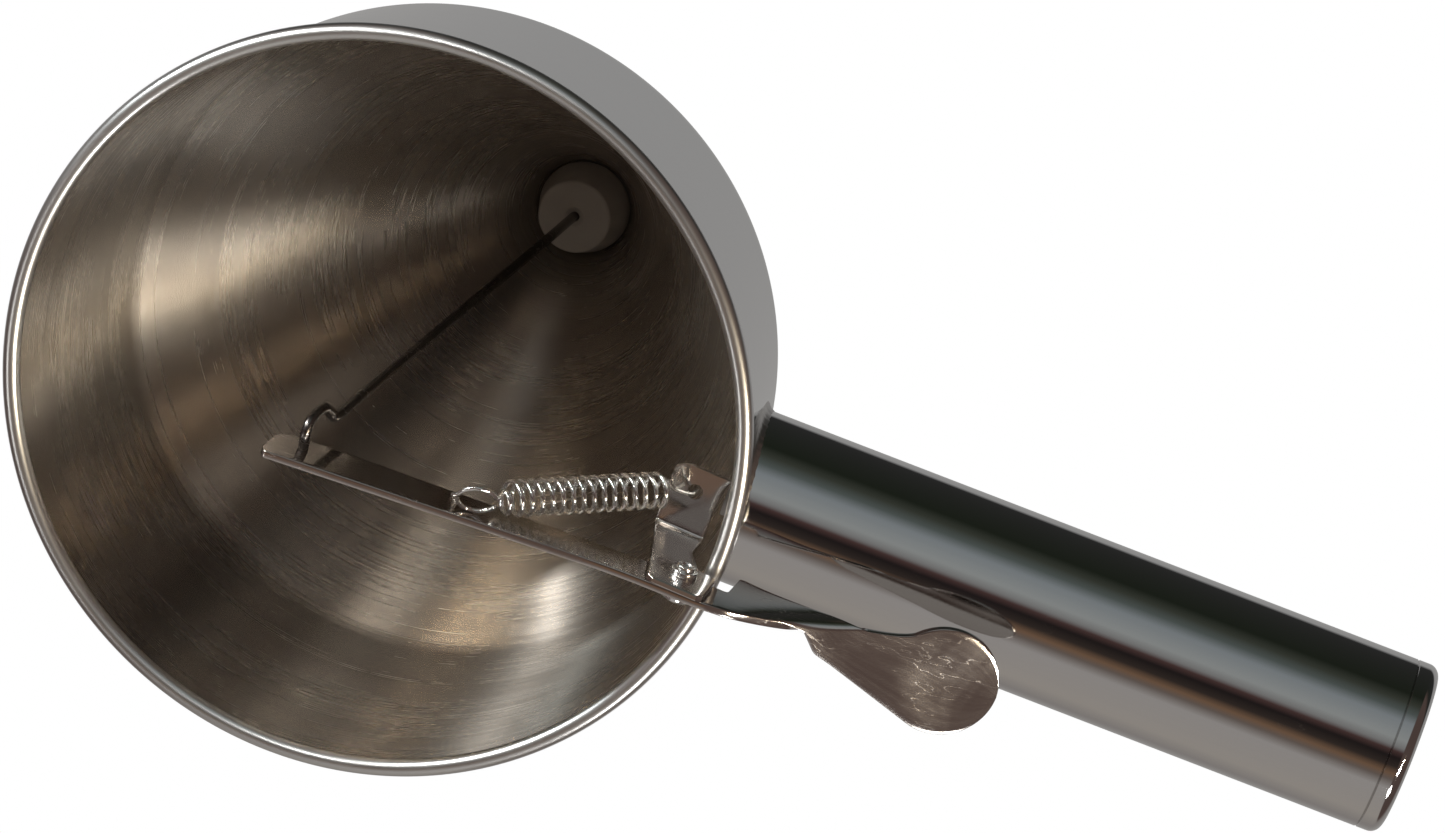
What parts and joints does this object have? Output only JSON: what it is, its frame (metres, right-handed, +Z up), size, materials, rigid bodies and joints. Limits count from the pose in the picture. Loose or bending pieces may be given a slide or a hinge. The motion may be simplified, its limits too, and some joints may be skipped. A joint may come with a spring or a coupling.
{
  "type": "lever dispensing funnel",
  "caption": "Hand-held steel dispensing funnel with a tube handle; a sprung thumb lever lifts a rod and stopper off the outlet to pour wax.",
  "frame": {"origin": "centre of the lower end of the outlet spout", "axes": "+Z up along the funnel axis, out of the mouth; +X towards the handle; +Y to the side of the spring"},
  "size_m": [0.2748, 0.145, 0.2058],
  "materials": {
    "funnel_steel": "circumferentially brushed inside, polished outside",
    "handle_steel": "mirror polished",
    "weld_steel": "satin",
    "lever_steel": "polished sheet",
    "spring_wire": "bright drawn wire",
    "rod_wire": "drawn wire",
    "stopper_rubber": "matte moulded"
  },
  "bodies": {
    "funnel": {"funnel_shell": "funnel_steel", "outlet_spout": "funnel_steel", "handle_tube": "handle_steel", "handle_weld": "weld_steel", "handle_end_cap": "handle_steel", "pivot_bracket": "lever_steel", "bracket_weld": "weld_steel", "pivot_rivet": "lever_steel", "pivot_washer": "lever_steel", "return_spring": "spring_wire"},
    "lever": {"lever": "lever_steel"},
    "rod": {"valve_rod": "rod_wire", "stopper_plug": "stopper_rubber", "rod_nut": "lever_steel"}
  },
  "joints": [
    {"name": "lever_pivot", "type": "hinge", "parent": "funnel", "child": "lever", "pos_m": [0.0665, -0.00605, 0.1825], "axis": [0, 1, 0], "range_deg": [0, 12], "stiffness_Nm_per_rad": 1, "springref_deg": -20.05, "deforming": ["return_spring"]},
    {"name": "rod_hook", "type": "hinge", "parent": "lever", "child": "rod", "pos_m": [-0.0055, -0.00605, 0.1984], "axis": [0, 1, 0], "range_deg": [-10.5, 0]}
  ],
  "couplings": [
    {"joint": "rod_hook", "follows": "lever_pivot", "ratio": -0.87}
  ]
}
